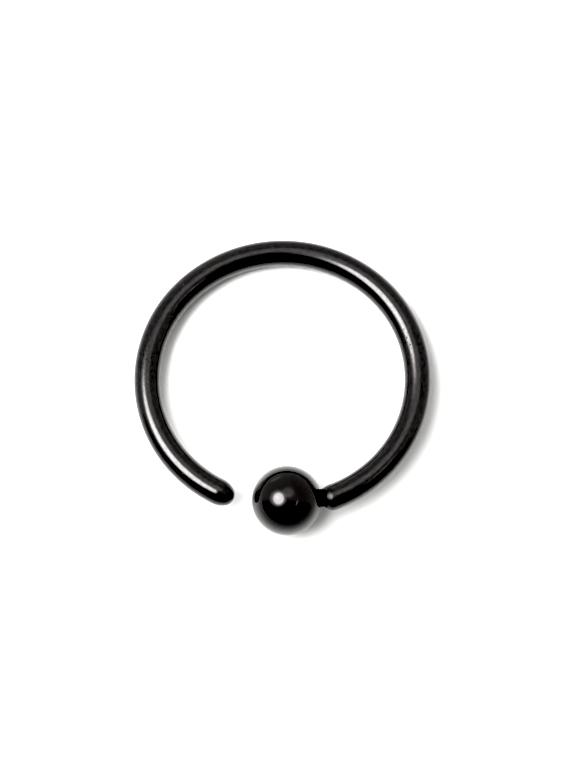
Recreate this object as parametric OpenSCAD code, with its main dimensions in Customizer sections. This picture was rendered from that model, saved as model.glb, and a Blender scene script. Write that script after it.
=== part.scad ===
/*
  Fixed bead ring: an open ring of round wire with one bead held on one end.
  Millimetres, +Z up. It lies as it does when it is put down: the bead, on the -Y side,
  and the far side of the wire touch the floor at z = 0.
*/

/* [Ring] */
// inside diameter of the ring from side to side, the size it is sold by
inside_d = 11.1; // [9:0.1:14]
// how much less it measures inside from the bead to the far side, as it is slightly oval
oval = 0.36; // [0:0.04:0.8]
// thickness of the round wire
wire_d = 1.2; // [1:0.05:1.6]

/* [Bead] */
// diameter of the bead
bead_d = 3.15; // [2.5:0.05:4]
// how far the middle of the bead sits inside the line of the wire
bead_inset = 0.27; // [0:0.01:0.4]

/* [Free end] */
// clear gap between the bead and the rounded free end
opening = 0.78; // [0.2:0.001:3]
// how much longer its rounding is than half a ball
tip_taper = 0.2; // [0:0.01:0.5]

/* [Fixed end] */
// thickness of the neck that is turned on the wire and goes into the bead
neck_d = 0.82; // [0.5:0.02:0.9]
// from the bead's surface to the middle of the wire's rounded shoulder
shoulder_back = 0.524; // [0.45:0.001:0.6]
// depth of the blind hole in the bead
hole_depth = 1.5; // [0.8:0.05:1.8]

/* [Hidden] */

wire_r = wire_d / 2;
bead_r = bead_d / 2;
neck_r = neck_d / 2;

// the wire runs in four arcs: a closer one at each side, and a wider one on the bead's side
// and on the far side. They meet where the wire faces 3 across for 4 along.
arc_step = oval / 0.8;
side_x = 0.6 * arc_step;
end_y = 0.8 * arc_step;
side_r = inside_d / 2 + wire_r - side_x;
end_r = side_r + arc_step;

// from the ring's middle to the far side of the wire, and to the bead
far_at = end_r - end_y;
bead_at = far_at - bead_inset;

// gap left round the neck, at its end and in front of the shoulder
fit = 0.03;

// the small ball that closes the free end, and how far along its middle is
tip_r = wire_r - tip_taper / 2;
tip_c = 1.5 * tip_taper;

// angle about the middle of the bead's arc from the bead to a point at radius r that lies a
// straight distance d from the middle of the bead
function from_bead(d, r) =
    acos((r * r + pow(end_r - bead_inset, 2) - d * d) / (2 * r * (end_r - bead_inset)));

function to_fiftieth(a) = round(50 * a) / 50;

shoulder_a = to_fiftieth(from_bead(bead_r + shoulder_back, end_r));
free_a = to_fiftieth(from_bead(bead_r + opening + tip_r, norm([end_r, tip_c]))
    + atan(tip_c / end_r));

// each end's cut reaches past the middle of the gap between the ends
cut_l = (end_r + wire_r) * sin((shoulder_a + free_a) / 2) + 0.2;

shoulder = [end_r * sin(shoulder_a), end_y - end_r * cos(shoulder_a)];
// direction from the middle of the bead to the shoulder
neck_a = atan2(shoulder[1] + bead_at, shoulder[0]);

// lying down, the bead lifts its own side of the ring by this angle
lift_a = asin((bead_r - wire_r) / (far_at + bead_at));
near_y = -bead_at * cos(lift_a) - bead_r;
far_y = far_at * cos(lift_a) + wire_r;

$fn = 96;

// puts the flat ring on the floor, centred over the origin
module lying() {
    translate([0, -(near_y + far_y) / 2, wire_r + far_at * sin(lift_a)])
        rotate([-lift_a, 0, 0])
            children();
}

// turns +Z to the line from the middle of the bead to the shoulder
module along_neck() {
    translate([0, -bead_at, 0])
        rotate([0, 0, neck_a])
            rotate([0, 90, 0])
                children();
}

// the part of a round of wire that lies inside the wedge between two directions
module arc(r, from, to) {
    intersection() {
        rotate_extrude()
            translate([r, 0])
                circle(r = wire_r);
        translate([0, 0, -wire_d])
            linear_extrude(2 * wire_d)
                polygon([[0, 0], 4 * from, 4 * to]);
    }
}

// block that cuts the wire square across at angle a and clears the gap on the side given:
// 1 is counter-clockwise from the cut, -1 clockwise
module end_cut(a, side) {
    rotate([0, 0, a])
        translate([0, (side - 1) / 2 * cut_l, -wire_d])
            cube([2 * end_r, cut_l, 2 * wire_d]);
}

// half a ball that rounds the fixed end
module shoulder_ball() {
    rotate([0, 0, shoulder_a - 90])
        translate([end_r, 0, 0])
            rotate([90, 0, 0])
                rotate_extrude()
                    intersection() {
                        circle(r = wire_r);
                        square([wire_r, wire_r]);
                    }
}

// longer rounding of the free end: a wide curve closed by the small ball. They meet where the
// surface faces 4 across for 3 along.
module free_tip() {
    rotate([0, 0, 270 - free_a])
        translate([end_r, 0, 0])
            rotate([-90, 0, 0])
                rotate_extrude() {
                    intersection() {
                        translate([-2 * tip_taper, 0])
                            circle(r = wire_r + 2 * tip_taper);
                        polygon([[0, 0], [wire_d, 0], [wire_d, tip_c + 0.75 * wire_d], [0, tip_c]]);
                    }
                    intersection() {
                        translate([0, tip_c])
                            circle(r = tip_r);
                        polygon([[0, tip_c], [wire_d, tip_c + 0.75 * wire_d], [0, tip_c + 1.25 * wire_d]]);
                    }
                }
}

module ring_wire() {
    color([0.07, 0.07, 0.08])
        lying()
            union() {
                // the shoulder is cut flat where it would come too close to the bead
                difference() {
                    union() {
                        translate([side_x, 0, 0])
                            arc(side_r, [3, -4], [3, 4]);
                        translate([0, -end_y, 0])
                            arc(end_r, [3, 4], [-3, 4]);
                        translate([-side_x, 0, 0])
                            arc(side_r, [-3, 4], [-3, -4]);
                        translate([0, end_y, 0]) {
                            difference() {
                                arc(end_r, [-3, -4], [3, -4]);
                                end_cut(shoulder_a - 90, -1);
                                end_cut(270 - free_a, 1);
                            }
                            shoulder_ball();
                            free_tip();
                        }
                    }
                    along_neck()
                        cylinder(h = bead_r + fit, r = wire_r + 0.1);
                }
                // the neck runs from inside the wire to just short of the hole's floor
                along_neck()
                    translate([0, 0, bead_r - hole_depth + fit])
                        cylinder(h = hole_depth + shoulder_back - fit, r = neck_r);
            }
}

// the bead is turned about the neck's axis, with its blind hole
module bead() {
    color([0.06, 0.06, 0.07])
        lying()
            along_neck()
                rotate_extrude()
                    difference() {
                        intersection() {
                            circle(r = bead_r);
                            translate([0, -bead_r])
                                square([bead_r, bead_d]);
                        }
                        translate([0, bead_r - hole_depth])
                            square([neck_r + fit, hole_depth]);
                    }
}

ring_wire();
bead();
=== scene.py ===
"""Fixed bead ring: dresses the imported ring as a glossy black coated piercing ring.

Everything is in metres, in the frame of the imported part: +Z up, the floor at z = 0, the bead on
the -Y side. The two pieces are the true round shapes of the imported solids, drawn finely enough
for a mirror-like coating.
"""

import math

import bmesh
import bpy
from bpy.props import FloatProperty, FloatVectorProperty, IntProperty, PointerProperty
from bpy.types import Operator, Panel, PropertyGroup
from mathutils import Matrix, Vector


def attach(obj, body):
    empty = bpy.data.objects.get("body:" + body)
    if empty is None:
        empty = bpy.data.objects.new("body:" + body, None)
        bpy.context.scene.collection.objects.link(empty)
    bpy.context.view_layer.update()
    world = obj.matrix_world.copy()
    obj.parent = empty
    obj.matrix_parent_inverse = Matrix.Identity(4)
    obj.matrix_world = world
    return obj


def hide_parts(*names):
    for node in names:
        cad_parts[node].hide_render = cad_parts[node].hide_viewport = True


bl_info = {
    "name": "Fixed Bead Ring",
    "version": (1, 0, 0),
    "blender": (4, 5, 0),
    "location": "View3D > Sidebar > Bead Ring",
    "description": "Builds a black coated bead ring lying on a pale floor",
    "category": "Add Mesh",
}

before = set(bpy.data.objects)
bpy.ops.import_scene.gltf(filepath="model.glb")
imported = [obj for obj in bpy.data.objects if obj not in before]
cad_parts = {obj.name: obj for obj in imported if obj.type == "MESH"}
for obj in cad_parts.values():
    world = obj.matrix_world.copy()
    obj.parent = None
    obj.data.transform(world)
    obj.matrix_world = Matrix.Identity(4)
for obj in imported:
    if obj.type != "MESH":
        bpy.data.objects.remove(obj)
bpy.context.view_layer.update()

MM = 0.001

# marks on the coating of the wire, each at a point and with a radius in mm
WORN = (((5.9, 1.3, 1.6), 1.5), ((5.95, -0.2, 1.7), 1.3), ((-6.2, 1, 1.6), 1.6))
PITS = (
    ((5.70, 1.93, 1.52), 0.05),
    ((5.58, 2.32, 1.49), 0.035),
    ((5.87, 1.58, 1.57), 0.03),
    ((5.97, 0.66, 1.64), 0.03),
)

# how far a finish reaches from an end of the wire, in mm: full up to the first, gone at the second
DULL_RING = (0, 0.12)
SOFT_SHOULDER = (0.25, 0.55)
DULL_TIP = (0.3, 0.8)
FILED_TIP = (0.4, 0.7)

# levels of a cloudy pattern between which a mark goes from nothing to full
SCUFFED = (0.62, 0.74)
SPECKLED = (0.56, 0.64)
# the filed ends' burrs, whose lighter specks are also painted glints
BURRS_AND_GLINTS = (0.56, 0.68)
MOTTLED = (0.42, 0.6)
RUBBED_OFF = (0.56, 0.66)

# the wire's four arcs meet where it faces 3 across for 4 along. The oval is then this share of
# the step between their radii.
MEET_X, MEET_Y, OVAL_SHARE = 0.6, 0.8, 0.8

# how far the free end has turned in where its two curves meet, as it faces 3 along for 4 across
TIP_TURN = math.atan2(3, 4)

# the camera as fitted to the photograph: focal length and sensor width in mm, shift of the
# picture in sensor widths, and its direction and roll in degrees
FOCAL, SENSOR = 105.66, 36
SHIFT_X, SHIFT_Y = 0.00731, -0.00793
AZIMUTH, ELEVATION, ROLL = -1.18, 79.43, -0.904

# place and width of the near lamp, in mm
LAMP_AT, LAMP_WIDTH = (-11, 12, 28), 10

# radius of the floor in m, and how bright the room is where the camera looks past it
FLOOR_R, BACKDROP = 1.5, 1.2

# The room that the ring reflects is laid out on a flat picture, which world() describes. Its
# far side is dark below the first height and fully lit above the second. This horizon falls
# towards the right, and the upper right corner is dimmer between two distances towards it.
HORIZON, HORIZON_FALL = (-0.25, 0.1), 0.12
CORNER, CORNER_DIM = (0.3, 0.55), 0.1

# lights on that picture: name and share of its brightness, middle, half sizes, turn in degrees,
# and where the edge starts and ends
LIGHTS = (
    ("key", 1, (-0.238, 0.081), (0.161, 0.179), 0, (0.72, 1.1)),
    ("core", 1, (-0.27, 0.11), (0.09, 0.09), 0, (0.2, 1)),
    ("halo", 1, (-0.25, 0.075), (0.205, 0.215), 0, (0.55, 1.3)),
    ("panel", 1, (0.03, 0.25), (0.17, 0.14), 0, (0.55, 1.3)),
    ("panel", 0.5, (0.03, 0.17), (0.09, 0.06), 0, (0.3, 1.5)),
    ("strip", 1, (0.275, -0.055), (0.018, 0.075), -20, (0.5, 1.4)),
    ("arc", 1, (-0.33, 0.625), (0.19, 0.028), 28, (0.4, 1.4)),
)


# sizes and colours


def length(name, description, default):
    """A length that a user may change."""
    return FloatProperty(
        name=name, description=description, default=default, min=0, unit="LENGTH", precision=6
    )


def tint(name, description, default):
    """A colour that a user may change."""
    return FloatVectorProperty(
        name=name, description=description, default=default, min=0, max=1, size=3, subtype="COLOR"
    )


def level(name, description, default):
    """A brightness that a user may change."""
    return FloatProperty(name=name, description=description, default=default, min=0)


class BEADRING_PG_shape(PropertyGroup):
    """Sizes of the wire and the bead."""

    inside_d: length("Inside diameter", "Inside diameter from side to side", 11.1 * MM)
    oval: length("Oval", "How much less it measures from bead to far side", 0.36 * MM)
    wire_d: length("Wire", "Thickness of the round wire", 1.2 * MM)
    bead_d: length("Bead", "Diameter of the bead", 3.15 * MM)
    bead_inset: length("Bead inset", "How far the bead sits inside the wire's line", 0.27 * MM)
    opening: length("Opening", "Clear gap between the bead and the free end", 0.78 * MM)
    tip_taper: length("Taper", "How much longer the free end is than half a ball", 0.2 * MM)
    neck_d: length("Neck", "Thickness of the neck between wire and bead", 0.82 * MM)
    shoulder_back: length("Shoulder", "From the bead to the middle of the shoulder", 0.524 * MM)
    hole_depth: length("Hole depth", "Depth of the blind hole in the bead", 1.5 * MM)
    fit: length("Fit", "Gap left round the neck and in front of the shoulder", 0.03 * MM)
    edge: length("Edge", "Radius of the small rounded edges", 0.03 * MM)
    around: IntProperty(name="Around", description="Points round the wire", default=72, min=16)
    along: IntProperty(name="Along", description="Rows along the wire", default=560, min=64)


class BEADRING_PG_finish(PropertyGroup):
    """Colours of the coating."""

    coat: tint("Coating", "Colour of the black coating", (0.0008, 0.0008, 0.0008))
    # the dust colour also lightens the filed ends' specks into painted glints
    dust: tint("Dust", "Colour of the dust and lint on the coating", (0.05, 0.045, 0.04))
    neck: tint("Neck", "Colour of the dull neck", (0.003, 0.003, 0.003))


class BEADRING_PG_stage(PropertyGroup):
    """Floor, light and camera."""

    floor: tint("Floor", "Colour of the floor", (0.775, 0.797, 0.785))
    tint: tint("Light", "Colour of all the light", (1, 0.965, 0.962))
    key: level("Key", "Brightness of the round soft light", 15)
    core: level("Key's middle", "How much brighter the middle of the round light is", 4.5)
    halo: level("Halo", "Brightness of the glow round the round light", 4.5)
    panel: level("Panel", "Brightness of the second, dim light", 1)
    upper: level("Far side", "Brightness of the room on the far side", 1.13)
    strip: level("Strip", "Brightness of a narrow lit gap", 2.8)
    near: level("Near lamp", "Power of the lamp beside the ring, in watts", 0.0065)
    arc: level("Arc", "Brightness of a thin lit edge", 0.9)
    black: level("Black", "Light level that the photograph shows as black", 0.04)
    distance: length("Camera distance", "From the ring's middle to the camera", 102.5 * MM)


# shapes


def to_fiftieth(angle):
    """The angle to the nearest fiftieth of a degree."""
    return math.radians(round(50 * math.degrees(angle)) / 50)


class RingPlan:
    """Where everything on the ring lies, in the ring's own plane with its middle at the origin."""

    def __init__(self, size):
        self.size = size
        self.wire_r = size.wire_d / 2
        self.bead_r = size.bead_d / 2
        self.neck_r = size.neck_d / 2
        # four arcs: a closer one at each side, a wider one at the bead and on the far side
        step = size.oval / OVAL_SHARE
        self.side_x, self.end_y = MEET_X * step, MEET_Y * step
        self.side_r = size.inside_d / 2 + self.wire_r - self.side_x
        self.end_r = self.side_r + step
        far = self.end_r - self.end_y
        near = far - size.bead_inset
        # the free end's wide curve, and the small ball that closes it. Their middles lie two
        # tapers apart across the wire and one and a half along it.
        self.tip_in = 2 * size.tip_taper
        self.wide_r = self.wire_r + self.tip_in
        self.tip_r, self.tip_c = self.wire_r - size.tip_taper / 2, 1.5 * size.tip_taper
        shoulder_a = to_fiftieth(self.from_bead(self.bead_r + size.shoulder_back, self.end_r))
        clear = self.bead_r + size.opening + self.tip_r
        free_a = self.from_bead(clear, math.hypot(self.end_r, self.tip_c))
        free_a = to_fiftieth(free_a + math.atan(self.tip_c / self.end_r))
        # the wire runs counter-clockwise between these two directions
        self.start, self.stop = shoulder_a - math.pi / 2, 1.5 * math.pi - free_a
        self.bead_at = Vector((0, -near, 0))
        self.shoulder_at = self.on_ring(self.start)
        self.free_at = self.on_ring(self.stop)
        self.neck_axis = (self.shoulder_at - self.bead_at).normalized()
        # along the neck, where it ends in the bead and where it meets the shoulder
        self.root = self.bead_r - size.hole_depth + size.fit
        reach = (self.shoulder_at - self.bead_at).length
        self.join = reach - math.sqrt(self.wire_r**2 - self.neck_r**2)
        lift = math.asin((self.bead_r - self.wire_r) / (far + near))
        near_y = -near * math.cos(lift) - self.bead_r
        far_y = far * math.cos(lift) + self.wire_r
        middle = Vector((0, -(near_y + far_y) / 2, self.wire_r + far * math.sin(lift)))
        self.lying = Matrix.Translation(middle) @ Matrix.Rotation(-lift, 4, "X")

    def from_bead(self, reach, radius):
        """Angle about the bead's arc, at that radius, from the bead to a point that far off."""
        a, b = radius, self.end_r - self.size.bead_inset
        return math.acos((a * a + b * b - reach * reach) / (2 * a * b))

    def on_ring(self, angle):
        """Point on the wire's line where its outer side faces in that direction."""
        way = Vector((math.cos(angle), math.sin(angle), 0))
        if abs(way.x) > MEET_X:
            return Vector((math.copysign(self.side_x, way.x), 0, 0)) + self.side_r * way
        return Vector((0, -math.copysign(self.end_y, way.y), 0)) + self.end_r * way


def circle(centre, axis, radius, count):
    """Points round an axis that lies in the ring's plane. They start on the ring's outer side."""
    side = axis.cross(Vector((0, 0, 1))).normalized()
    up = side.cross(axis)
    turns = (2 * math.pi * i / count for i in range(count))
    return [centre + radius * (math.cos(t) * side + math.sin(t) * up) for t in turns]


def rounded(corner, before, after, radius, steps=4):
    """Points of a profile that turn a corner by a small curve instead of sharply."""
    corner, before, after = Vector(corner), Vector(before), Vector(after)
    start = corner + radius * (before - corner).normalized()
    end = corner + radius * (after - corner).normalized()
    points = []
    for i in range(steps + 1):
        t = i / steps
        points.append((1 - t) ** 2 * start + 2 * t * (1 - t) * corner + t * t * end)
    return points


def straight(start, stop, radius):
    """Points inside a stretch of a profile that keeps its radius."""
    return [Vector((start + (stop - start) * t, radius)) for t in (0.3, 0.6, 0.9)]


def placed(name, data):
    """New object in the scene."""
    made = bpy.data.objects.new(name, data)
    bpy.context.scene.collection.objects.link(made)
    return made


def placed_shape(name, shape):
    """New object in the scene from a mesh that is still being edited."""
    mesh = bpy.data.meshes.new(name)
    shape.to_mesh(mesh)
    shape.free()
    return placed(name, mesh)


def skin(name, rows, first, last, place):
    """Closed mesh through rows of points, all of one length. first and last close its ends."""
    shape = bmesh.new()
    loops = [[shape.verts.new(place @ p) for p in row] for row in rows]
    for near, far in zip(loops, loops[1:]):
        for i in range(len(near)):
            j = (i + 1) % len(near)
            shape.faces.new((near[i], near[j], far[j], far[i]))
    for tip, loop, turn in ((first, loops[0], -1), (last, loops[-1], 1)):
        end = shape.verts.new(place @ tip)
        for i in range(len(loop)):
            corners = (loop[i], loop[(i + 1) % len(loop)], end)
            shape.faces.new(corners[::turn])
    bmesh.ops.recalc_face_normals(shape, faces=shape.faces)
    for face in shape.faces:
        face.smooth = True
    return placed_shape(name, shape)


def neck_profile(plan):
    """The neck as (distance along its axis, radius), with a small curve at each end."""
    edge, root, join, neck_r = plan.size.edge, plan.root, plan.join, plan.neck_r
    rise = math.sqrt(plan.wire_r**2 - neck_r**2)
    profile = rounded((root, neck_r), (root, 0), (join, neck_r), edge)
    profile += straight(root, join, neck_r)
    profile += rounded((join, neck_r), (root, neck_r), (join + neck_r, neck_r + rise), edge / 2)
    return profile


def shoulder_rows(plan, lip, steps=12):
    """Rows of the rounded shoulder, from the neck's last row to where the wire begins."""
    tangent = Vector((-math.sin(plan.start), math.cos(plan.start), 0))
    girth = circle(Vector(), tangent, 1, plan.size.around)
    rows = []
    for k in range(1, steps):
        row = []
        for low, high in zip(lip, girth):
            low = (low - plan.shoulder_at).normalized()
            row.append(plan.shoulder_at + plan.wire_r * low.slerp(high, k / steps))
        rows.append(row)
    return rows


def tip_profile(plan, steps=14):
    """The free end as (distance past the wire's last row, radius)."""
    profile = []
    for k in range(1, steps + 1):
        bend = TIP_TURN * k / steps
        radius = plan.wide_r * math.cos(bend) - plan.tip_in
        profile.append((plan.wide_r * math.sin(bend), radius))
    for k in range(1, steps):
        bend = TIP_TURN + (0.5 * math.pi - TIP_TURN) * k / steps
        profile.append((plan.tip_c + plan.tip_r * math.sin(bend), plan.tip_r * math.cos(bend)))
    return profile


def wire_rows(plan):
    """Rows of the wire from the neck's hidden end to the free end, and the tips that close it."""
    count, along, axis = plan.size.around, plan.size.along, plan.neck_axis
    rows = [circle(plan.bead_at + axis * d, axis, r, count) for d, r in neck_profile(plan)]
    rows += shoulder_rows(plan, rows[-1])
    for k in range(along + 1):
        angle = plan.start + (plan.stop - plan.start) * k / along
        tangent = Vector((-math.sin(angle), math.cos(angle), 0))
        rows.append(circle(plan.on_ring(angle), tangent, plan.wire_r, count))
    free = plan.free_at
    rows += [circle(free + tangent * d, tangent, r, count) for d, r in tip_profile(plan)]
    return rows, plan.bead_at + axis * plan.root, free + tangent * (plan.tip_c + plan.tip_r)


def bead_rows(plan, steps=110):
    """Rows of the bead from the floor of its blind hole round to its far side."""
    size, axis = plan.size, plan.neck_axis
    hole_r = plan.neck_r + size.fit
    floor = plan.bead_r - size.hole_depth
    mouth = math.asin(hole_r / plan.bead_r)
    lip = (plan.bead_r * math.cos(mouth), hole_r)
    past = mouth + 0.05
    outside = plan.bead_r * Vector((math.cos(past), math.sin(past)))
    profile = rounded((floor, hole_r), (floor, 0), lip, size.edge)
    profile += straight(floor, lip[0], hole_r)
    profile += rounded(lip, (floor, hole_r), outside, size.edge / 2)
    start = mouth + size.edge / plan.bead_r
    for k in range(1, steps):
        turn = start + (math.pi - start) * k / steps
        profile.append(plan.bead_r * Vector((math.cos(turn), math.sin(turn))))
    rows = [circle(plan.bead_at + axis * d, axis, r, 2 * size.around) for d, r in profile]
    return rows, plan.bead_at + axis * floor, plan.bead_at - axis * plan.bead_r


def note_run(piece, rows):
    """Stores how far each point lies along the wire, out from its line and up, in mm.

    It gives the wire's length in mm. The rows are those of the piece, in their order.
    """
    along, last, values = 0, None, []
    for row in rows:
        middle = sum(row, Vector()) / len(row)
        along += (middle - last).length if last else 0
        last = middle
        outward = Vector((middle.x, middle.y, 0)).normalized()
        for point in row:
            values += [along / MM, (point - middle).dot(outward) / MM, point.z / MM]
    values += [0, 0, 0, along / MM, 0, 0]
    run = piece.data.attributes.new("run", "FLOAT_VECTOR", "POINT")
    run.data.foreach_set("vector", values)
    return along / MM


# materials


class Signal:
    """An output of a material's nodes that takes part in arithmetic as a number does."""

    def __init__(self, paint, socket):
        self.paint, self.socket = paint, socket

    def __add__(self, other):
        return self.paint.math("ADD", self, other)

    def __sub__(self, other):
        return self.paint.math("SUBTRACT", self, other)

    def __rsub__(self, other):
        return self.paint.math("SUBTRACT", other, self)

    def __mul__(self, other):
        return self.paint.math("MULTIPLY", self, other)

    def __truediv__(self, other):
        return self.paint.math("DIVIDE", self, other)

    __radd__ = __add__
    __rmul__ = __mul__

    def ramp(self, low, high):
        """0 below low, 1 above high and smooth between. low may be the greater."""
        return self.paint.node(
            "ShaderNodeMapRange",
            {"interpolation_type": "SMOOTHSTEP"},
            {"Value": self, "From Min": low, "From Max": high},
        )


class Paint:
    """The nodes of one material or world."""

    def __init__(self, owner):
        owner.use_nodes = True
        self.tree = owner.node_tree
        self.tree.nodes.clear()

    def node(self, kind, settings=None, sockets=None, output=0):
        """Adds a node, sets it, fills its sockets with values or links, and gives an output."""
        made = self.tree.nodes.new(kind)
        for key, value in (settings or {}).items():
            setattr(made, key, value)
        for key, value in (sockets or {}).items():
            if isinstance(value, Signal):
                self.tree.links.new(value.socket, made.inputs[key])
            else:
                made.inputs[key].default_value = value
        return Signal(self, made.outputs[output]) if made.outputs else made

    def math(self, operation, first, second=0):
        """Arithmetic on one value or two."""
        return self.node("ShaderNodeMath", {"operation": operation}, {0: first, 1: second})

    def place(self):
        """Where the point lies in the scene, in mm."""
        metres = self.node("ShaderNodeTexCoord", {}, {}, "Object")
        return self.scaled(metres, (1 / MM, 1 / MM, 1 / MM))

    def scaled(self, vector, by):
        """A vector stretched by other amounts along each axis."""
        return self.node("ShaderNodeVectorMath", {"operation": "MULTIPLY"}, {0: vector, 1: by})

    def along(self, vector, direction):
        """How far a vector reaches in a direction."""
        return self.node(
            "ShaderNodeVectorMath",
            {"operation": "DOT_PRODUCT"},
            {0: vector, 1: tuple(direction)},
            "Value",
        )

    def distance(self, x, y):
        """Straight distance that x and y make together."""
        return self.math("SQRT", x * x + y * y)

    def noise(self, vector, scale, detail=2, rough=0.5):
        """Cloudy pattern from 0 to 1."""
        sockets = {"Vector": vector, "Scale": scale, "Detail": detail, "Roughness": rough}
        return self.node("ShaderNodeTexNoise", {}, sockets, "Fac")

    def dots(self, vector, scale):
        """Distance to the nearest of many scattered points, in cells."""
        sockets = {"Vector": vector, "Scale": scale}
        return self.node("ShaderNodeTexVoronoi", {"feature": "F1"}, sockets, "Distance")

    def patches(self, vector, places, core):
        """1 within the core of any of some round patches, 0 outside them and smooth between."""
        share = 0
        for centre, radius in places:
            reach = self.node(
                "ShaderNodeVectorMath", {"operation": "DISTANCE"}, {0: vector, 1: centre}, "Value"
            )
            share = reach.ramp(radius, core * radius) + share
        return share

    def blend(self, share, first, second):
        """Colour that goes from first to second with share."""
        sockets = {0: share, 6: first, 7: second}
        return self.node("ShaderNodeMix", {"data_type": "RGBA"}, sockets, 2)

    def relief(self, height):
        """Direction of the surface where it is raised by a height in m."""
        return self.node("ShaderNodeBump", {}, {"Distance": 1, "Height": height})

    def glaze(self, ior, **sockets):
        """The finished surface, with one refractive index all over."""
        named = {key.replace("_", " "): value for key, value in sockets.items()}
        surface = self.node("ShaderNodeBsdfPrincipled", {}, {"IOR": ior, **named})
        self.node("ShaderNodeOutputMaterial", {}, {"Surface": surface})


def rgba(colour):
    """A colour as sockets take it, with nothing see-through."""
    return (*colour, 1)


def coating(name, finish, ior, grain, mottled, where=None, ends=None, worn=(), pits=()):
    """Glossy black coating, with its small marks.

    grain is how the fine lines run, mottled how much its fine clouds dim it, and where names the
    attribute that gives the point in mm. ends are the places along the wire of its two dull,
    filed ends. worn are patches and pits single marks, each a point and a radius in mm.
    """
    material = bpy.data.materials.new(name)
    paint = Paint(material)
    place = point = paint.place()
    if where:
        point = paint.node("ShaderNodeAttribute", {"attribute_name": where}, {}, "Vector")
    drawn = paint.scaled(point, (0.6, 1, 1))
    lines = paint.noise(paint.scaled(point, grain), 1, 3, 0.6)
    fine = paint.noise(paint.scaled(point, tuple(2.3 * g for g in grain)), 1, 2, 0.6)
    cloud = paint.noise(point, 0.8, 3, 0.55)
    swell = paint.noise(point, 1.1, 1, 0.4)
    mottle = paint.noise(drawn, 9, 3, 0.65)
    grit = paint.noise(place, 11, 3, 0.6)

    # what the filing left at the wire's two ends
    dull = filed = soft = 0
    if ends:
        along = paint.along(point, (1, 0, 0))
        past_shoulder, before_tip = along - ends[0], ends[1] - along
        dull = 0.6 * past_shoulder.ramp(*DULL_RING[::-1]) + 0.2 * before_tip.ramp(*DULL_TIP[::-1])
        soft = past_shoulder.ramp(*SOFT_SHOULDER[::-1])
        filed = soft + before_tip.ramp(*FILED_TIP[::-1])

    # marks, each from 0 to 1
    rubbed = paint.patches(place, worn, 0.3)
    rubbed_off = rubbed * paint.noise(drawn, 17, 2, 0.7).ramp(*RUBBED_OFF)
    pit = paint.patches(place, pits, 0.3)
    specks = paint.dots(point, 3.1).ramp(0.13, 0.05) * paint.noise(point, 1.7, 1).ramp(*SPECKLED)
    scuffs = lines.ramp(*SCUFFED)
    # lighter specks on the filed ends: filing burrs, and painted glints where the small bevels
    # would catch the light
    burr_and_painted_glints = filed * grit.ramp(*BURRS_AND_GLINTS)

    # dust specks, and the painted glints on the filed ends, lighten the coating's colour
    dust_and_painted_glints = 0.5 * specks + 0.5 * burr_and_painted_glints
    colour = paint.blend(dust_and_painted_glints, rgba(finish.coat), rgba(finish.dust))
    # where the coating is thin or marked it reflects less
    weak = mottled * mottle.ramp(*MOTTLED) + 0.6 * rubbed_off + 0.4 * pit
    weak = weak + dull + 0.35 * soft
    rough = 0.05 + 0.05 * cloud + 0.04 * scuffs + 0.03 * fine + 0.2 * specks + 0.3 * pit
    rough = rough + 0.4 * dull + 0.08 * filed + 0.16 * soft + 0.06 * rubbed
    # how far the marks raise the surface, in m
    height = 2.2e-6 * swell + 0.5e-7 * lines + 0.6e-7 * mottle + 2e-6 * specks
    height = height + 8e-6 * (filed - 0.7 * soft) * grit + 3e-7 * rubbed * fine - 5e-6 * pit
    normal = paint.relief(height)
    paint.glaze(ior, Base_Color=colour, Metallic=weak, Roughness=rough, Normal=normal)
    return material


def dull_neck(name, finish):
    """Matt black of the neck and the face behind it, which the polish never reached."""
    material = bpy.data.materials.new(name)
    paint = Paint(material)
    grit = paint.noise(paint.place(), 14, 4, 0.65)
    colour = paint.blend(grit.ramp(0.45, 0.7), rgba(finish.neck), rgba(finish.coat))
    normal = paint.relief(6e-6 * grit)
    paint.glaze(1.15, Base_Color=colour, Roughness=0.5 + 0.3 * grit, Normal=normal)
    return material


def satin_floor(name, colour):
    """Pale card, matt from above and a little glossy and darker when seen at a low angle."""
    material = bpy.data.materials.new(name)
    paint = Paint(material)
    fibre = paint.noise(paint.place(), 2.5, 4, 0.6)
    darker = tuple(0.97 * c for c in colour)
    base = paint.blend(fibre, rgba(darker), rgba(colour))
    normal = paint.relief(4e-6 * fibre)
    sockets = {"Base Color": base, "Roughness": 1, "Specular IOR Level": 0, "Normal": normal}
    matt = paint.node("ShaderNodeBsdfPrincipled", {}, sockets)
    grey = rgba((0.3, 0.3, 0.3))
    gloss = paint.node("ShaderNodeBsdfAnisotropic", {}, {"Color": grey, "Roughness": 0.5})
    slant = paint.node("ShaderNodeLayerWeight", {}, {"Blend": 0.5}, "Facing").ramp(0.3, 0.9)
    surface = paint.node("ShaderNodeMixShader", {}, {0: 0.68 * slant, 1: matt, 2: gloss})
    paint.node("ShaderNodeOutputMaterial", {}, {"Surface": surface})
    return material


# operators


def dress(piece, node, *materials):
    """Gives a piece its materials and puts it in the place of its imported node."""
    for material in materials:
        piece.data.materials.append(material)
    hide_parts(node)
    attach(piece, "root")


def direction(azimuth, elevation):
    """Unit vector towards a place seen from the ring, with azimuth 0 on the bead's side."""
    a, e = math.radians(azimuth), math.radians(elevation)
    return Vector((math.sin(a) * math.cos(e), -math.cos(a) * math.cos(e), math.sin(e)))


def facing_back(place, towards):
    """Placement of a camera or lamp that has gone out that way and looks back."""
    return Matrix.Translation(place) @ towards.to_track_quat("Z", "Y").to_matrix().to_4x4()


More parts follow.
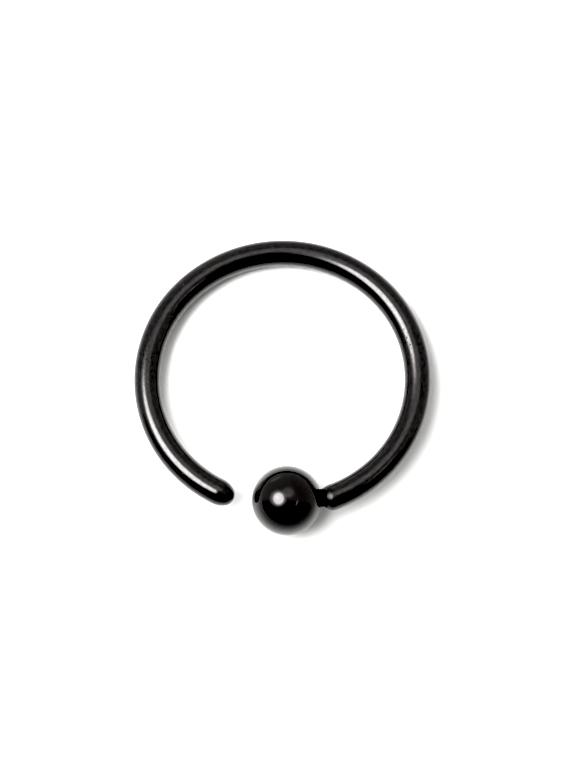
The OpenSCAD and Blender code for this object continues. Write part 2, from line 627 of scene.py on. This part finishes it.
class BEADRING_OT_wire(Operator):
    """Builds the coated wire with its rounded free end, shoulder and neck"""

    bl_idname = "beadring.wire"
    bl_label = "Wire"

    def execute(self, context):
        plan = RingPlan(context.scene.beadring_shape)
        finish = context.scene.beadring_finish
        rows, first, last = wire_rows(plan)
        piece = skin("black_wire", rows, first, last, plan.lying)
        ends = ((plan.join - plan.root) / MM, note_run(piece, rows))
        gloss = coating(
            "black coating on wire", finish, ior=1.56, grain=(0.5, 11, 11), mottled=0.2,
            where="run", ends=ends, worn=WORN, pits=PITS,
        )
        dress(piece, "ring_wire", gloss, dull_neck("dull neck", finish))
        inside = plan.lying @ plan.bead_at
        reach = math.hypot(plan.join, plan.neck_r)
        for face in piece.data.polygons:
            if (face.center - inside).length < reach:
                face.material_index = 1
        return {"FINISHED"}


class BEADRING_OT_bead(Operator):
    """Builds the coated bead with the blind hole that holds the neck"""

    bl_idname = "beadring.bead"
    bl_label = "Bead"

    def execute(self, context):
        plan = RingPlan(context.scene.beadring_shape)
        piece = skin("black_bead", *bead_rows(plan), plan.lying)
        finish = context.scene.beadring_finish
        gloss = coating(
            "black coating on bead", finish, ior=1.5, grain=(5, 1.2, 5), mottled=0.05
        )
        dress(piece, "bead", gloss)
        return {"FINISHED"}


class BEADRING_OT_stage(Operator):
    """Builds the pale floor, the soft light and the camera"""

    bl_idname = "beadring.stage"
    bl_label = "Stage"

    def execute(self, context):
        plan = RingPlan(context.scene.beadring_shape)
        stage = context.scene.beadring_stage
        self.floor(stage)
        self.camera(context, plan, stage)
        self.lamp(stage)
        self.world(context, stage)
        self.tones(context, stage)
        return {"FINISHED"}

    def floor(self, stage):
        """Round sheet of pale card, wide enough to fill every view."""
        shape = bmesh.new()
        bmesh.ops.create_circle(shape, cap_ends=True, segments=96, radius=FLOOR_R)
        floor = placed_shape("floor", shape)
        floor.data.materials.append(satin_floor("pale floor", stage.floor))

    def camera(self, context, plan, stage):
        """Looks steeply down from the bead's side, with the ring a little below the middle."""
        lens = bpy.data.cameras.new("camera")
        lens.lens, lens.sensor_width = FOCAL, SENSOR
        lens.shift_x, lens.shift_y = SHIFT_X, SHIFT_Y
        lens.clip_start, lens.clip_end = 0.001, 20
        camera = placed("camera", lens)
        towards = direction(AZIMUTH, ELEVATION)
        roll = Matrix.Rotation(math.radians(ROLL), 4, "Z")
        place = plan.lying.translation + towards * stage.distance
        camera.matrix_world = facing_back(place, towards) @ roll
        context.scene.camera = camera

    def lamp(self, stage):
        """Soft lamp close above the far left, so that the floor's light falls off to the right."""
        light = bpy.data.lights.new("near lamp", "AREA")
        light.shape, light.size, light.energy = "DISK", LAMP_WIDTH * MM, stage.near
        light.color = stage.tint
        lamp = placed("near lamp", light)
        place = Vector(LAMP_AT) * MM
        lamp.matrix_world = facing_back(place, place)
        lamp.visible_camera = lamp.visible_glossy = False

    def world(self, context, stage):
        """Plain studio round the ring, laid out flat as a mirror ball under the camera shows it.

        A way out is at x, y on that flat picture, where x and y run with the photograph's sides
        and the direction of the camera is at 0, 0.
        """
        world = bpy.data.worlds.new("studio")
        context.scene.world = world
        paint = Paint(world)
        way = paint.node("ShaderNodeTexCoord", {}, {}, "Generated")
        across, up, back = context.scene.camera.matrix_world.to_3x3().col
        shrink = paint.math("SQRT", 2 + 2 * paint.along(way, back))
        x, y = paint.along(way, across) / shrink, paint.along(way, up) / shrink

        far_side = (y + HORIZON_FALL * x.ramp(0, 0.8)).ramp(*HORIZON)
        corner = (x + 0.6 * y).ramp(*CORNER)
        glow = far_side * (stage.upper - CORNER_DIM * corner)
        for light, share, (x0, y0), (width, height), turn, (start, stop) in LIGHTS:
            c, s = math.cos(math.radians(turn)), math.sin(math.radians(turn))
            wide = (x * c + y * s - (x0 * c + y0 * s)) / width
            high = (y * c - x * s - (y0 * c - x0 * s)) / height
            spot = paint.distance(wide, high).ramp(stop, start)
            glow = glow + spot * (share * getattr(stage, light))

        seen = paint.node("ShaderNodeLightPath", {}, {}, "Is Camera Ray")
        sockets = {"Color": rgba(stage.tint), "Strength": glow * (1 - seen) + BACKDROP * seen}
        room = paint.node("ShaderNodeBackground", {}, sockets)
        paint.node("ShaderNodeOutputWorld", {}, {"Surface": room})

    def tones(self, context, stage):
        """Shows the darkest levels as black, as the photograph does."""
        view = context.scene.view_settings
        view.view_transform = "Standard"
        view.use_curve_mapping = True
        view.curve_mapping.black_level = (stage.black,) * 3
        view.curve_mapping.white_level = (1 + stage.black,) * 3
        view.curve_mapping.update()


class BEADRING_PT_panel(Panel):
    """Lists the pieces and their sizes"""

    bl_label = "Bead Ring"
    bl_idname = "BEADRING_PT_panel"
    bl_space_type = "VIEW_3D"
    bl_region_type = "UI"
    bl_category = "Bead Ring"

    def draw(self, context):
        scene = context.scene
        for group in (scene.beadring_shape, scene.beadring_finish, scene.beadring_stage):
            box = self.layout.box()
            for key in group.bl_rna.properties.keys():
                if key not in {"rna_type", "name"}:
                    box.prop(group, key)
        for operator in OPERATORS:
            self.layout.operator(operator.bl_idname)


GROUPS = {
    "beadring_shape": BEADRING_PG_shape,
    "beadring_finish": BEADRING_PG_finish,
    "beadring_stage": BEADRING_PG_stage,
}
OPERATORS = (BEADRING_OT_wire, BEADRING_OT_bead, BEADRING_OT_stage)


def register():
    for item in (*GROUPS.values(), *OPERATORS, BEADRING_PT_panel):
        bpy.utils.register_class(item)
    for name, group in GROUPS.items():
        setattr(bpy.types.Scene, name, PointerProperty(type=group))


def unregister():
    for name in GROUPS:
        delattr(bpy.types.Scene, name)
    for item in reversed((*GROUPS.values(), *OPERATORS, BEADRING_PT_panel)):
        bpy.utils.unregister_class(item)


def main():
    register()
    bpy.ops.beadring.wire()
    bpy.ops.beadring.bead()
    bpy.ops.beadring.stage()


if __name__ == "__main__":
    main()
